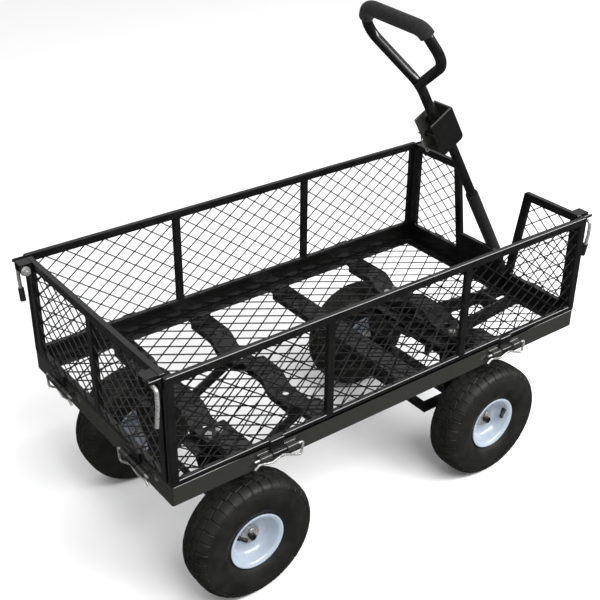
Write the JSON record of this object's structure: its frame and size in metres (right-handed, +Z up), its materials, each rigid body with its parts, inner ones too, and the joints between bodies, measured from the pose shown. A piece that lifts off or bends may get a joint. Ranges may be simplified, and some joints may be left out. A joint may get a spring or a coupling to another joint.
{
  "type": "four-wheel hand cart",
  "caption": "Steel-mesh garden hand cart with fold-down latched gates, pneumatic tyres, a steered front axle, and a swinging pull handle with a folding D-grip.",
  "frame": {"origin": "centre of the whole cart's bounding box, on the ground under the tyres", "axes": "+X forward, towards the tongue and handle; +Y to the cart's left; +Z up"},
  "size_m": [1.11, 0.536, 0.9633],
  "materials": {
    "powder_coat": "semi-gloss black powder coat",
    "zinc_plate": "bright zinc plate",
    "rim_paint": "gloss pale blue-white paint",
    "tyre_rubber": "moulded black rubber",
    "grip_foam": "matt charcoal foam",
    "vinyl": "dipped black vinyl",
    "bearing_plastic": "moulded black plastic"
  },
  "bodies": {
    "bed": {"bed_frame": "powder_coat", "floor_mesh": "powder_coat", "dropped_crossmembers": "powder_coat", "plain_crossmember": "powder_coat", "rear_axle_brackets": "powder_coat", "rear_axle_braces": "powder_coat", "rear_axle": "powder_coat", "rear_axle_spacers": "zinc_plate", "rear_cotter_pins": "zinc_plate", "carriage_bolts": "zinc_plate", "turntable_plate": "powder_coat", "turntable_washer": "bearing_plastic", "kingpin": "zinc_plate", "hinge_lock_pins": "zinc_plate", "handle_rest": "powder_coat", "handle_rest_bolts": "zinc_plate"},
    "steering_carriage": {"steering_plate": "powder_coat", "front_axle_carrier": "powder_coat", "tongue": "powder_coat", "handle_pivot_bolt": "zinc_plate", "front_axle": "powder_coat", "front_axle_spacers": "zinc_plate", "front_cotter_pins": "zinc_plate"},
    "pull_handle": {"handle_tube": "powder_coat", "handle_sleeve": "grip_foam", "tow_bracket": "powder_coat", "grip_pivot_bolt": "powder_coat", "hitch_pin": "powder_coat", "hitch_pin_clip": "zinc_plate"},
    "grip": {"grip_frame": "powder_coat", "grip_foam": "grip_foam"},
    "front_left_wheel": {"front_left_tyre": "tyre_rubber", "front_left_rim": "rim_paint", "front_left_bearings": "bearing_plastic"},
    "front_right_wheel": {"front_right_tyre": "tyre_rubber", "front_right_rim": "rim_paint", "front_right_bearings": "bearing_plastic"},
    "rear_left_wheel": {"rear_left_tyre": "tyre_rubber", "rear_left_rim": "rim_paint", "rear_left_bearings": "bearing_plastic"},
    "rear_right_wheel": {"rear_right_tyre": "tyre_rubber", "rear_right_rim": "rim_paint", "rear_right_bearings": "bearing_plastic"},
    "left_side_gate": {"left_side_frame": "powder_coat", "left_side_mesh": "powder_coat"},
    "right_side_gate": {"right_side_frame": "powder_coat", "right_side_mesh": "powder_coat"},
    "rear_gate": {"rear_gate_frame": "powder_coat", "rear_gate_mesh": "powder_coat"},
    "front_left_gate": {"front_left_gate_frame": "powder_coat", "front_left_gate_mesh": "powder_coat"},
    "front_right_gate": {"front_right_gate_frame": "powder_coat", "front_right_gate_mesh": "powder_coat"},
    "rear_left_latch": {"rear_left_latch_lever": "zinc_plate", "rear_left_latch_tip": "vinyl"},
    "rear_right_latch": {"rear_right_latch_lever": "zinc_plate"},
    "front_left_latch": {"front_left_latch_lever": "zinc_plate", "front_left_latch_tip": "vinyl"},
    "front_right_latch": {"front_right_latch_lever": "zinc_plate", "front_right_latch_tip": "vinyl"}
  },
  "joints": [
    {"name": "steering_turn", "type": "hinge", "parent": "bed", "child": "steering_carriage", "pos_m": [0.24945, 0, 0.254], "axis": [0, 0, 1], "range_deg": [-12, 12]},
    {"name": "front_left_wheel_spin", "type": "hinge", "parent": "steering_carriage", "child": "front_left_wheel", "pos_m": [0.24245, 0.208, 0.125], "axis": [0, 1, 0], "continuous": true},
    {"name": "front_right_wheel_spin", "type": "hinge", "parent": "steering_carriage", "child": "front_right_wheel", "pos_m": [0.24245, -0.208, 0.125], "axis": [0, 1, 0], "continuous": true},
    {"name": "rear_left_wheel_spin", "type": "hinge", "parent": "bed", "child": "rear_left_wheel", "pos_m": [-0.35655, 0.208, 0.125], "axis": [0, 1, 0], "continuous": true},
    {"name": "rear_right_wheel_spin", "type": "hinge", "parent": "bed", "child": "rear_right_wheel", "pos_m": [-0.35655, -0.208, 0.125], "axis": [0, 1, 0], "continuous": true},
    {"name": "handle_swing", "type": "hinge", "parent": "steering_carriage", "child": "pull_handle", "pos_m": [0.54005, 0, 0.2325], "axis": [0, 1, 0], "range_deg": [0, 120]},
    {"name": "grip_fold", "type": "hinge", "parent": "pull_handle", "child": "grip", "pos_m": [0.24629, 0, 0.7153], "axis": [0, -1, 0], "range_deg": [0, 110]},
    {"name": "right_side_gate_fold", "type": "hinge", "parent": "bed", "child": "right_side_gate", "pos_m": [-0.04855, -0.262, 0.327], "axis": [1, 0, 0], "range_deg": [0, 165]},
    {"name": "left_side_gate_fold", "type": "hinge", "parent": "bed", "child": "left_side_gate", "pos_m": [-0.04855, 0.262, 0.327], "axis": [-1, 0, 0], "range_deg": [0, 165]},
    {"name": "rear_gate_fold", "type": "hinge", "parent": "bed", "child": "rear_gate", "pos_m": [-0.53905, 0, 0.327], "axis": [0, -1, 0], "range_deg": [0, 165]},
    {"name": "front_left_gate_fold", "type": "hinge", "parent": "bed", "child": "front_left_gate", "pos_m": [0.44195, 0.15, 0.327], "axis": [0, 1, 0], "range_deg": [0, 90]},
    {"name": "front_right_gate_fold", "type": "hinge", "parent": "bed", "child": "front_right_gate", "pos_m": [0.44195, -0.15, 0.327], "axis": [0, 1, 0], "range_deg": [0, 90]},
    {"name": "rear_left_latch_turn", "type": "hinge", "parent": "rear_gate", "child": "rear_left_latch", "pos_m": [-0.54455, 0.252, 0.5383], "axis": [0, 1, 0], "range_deg": [0, 90]},
    {"name": "rear_right_latch_turn", "type": "hinge", "parent": "rear_gate", "child": "rear_right_latch", "pos_m": [-0.54455, -0.252, 0.5383], "axis": [0, 1, 0], "range_deg": [0, 90]},
    {"name": "front_left_latch_turn", "type": "hinge", "parent": "front_left_gate", "child": "front_left_latch", "pos_m": [0.44745, 0.252, 0.5383], "axis": [0, -1, 0], "range_deg": [0, 90]},
    {"name": "front_right_latch_turn", "type": "hinge", "parent": "front_right_gate", "child": "front_right_latch", "pos_m": [0.44745, -0.252, 0.5383], "axis": [0, -1, 0], "range_deg": [0, 90]}
  ]
}
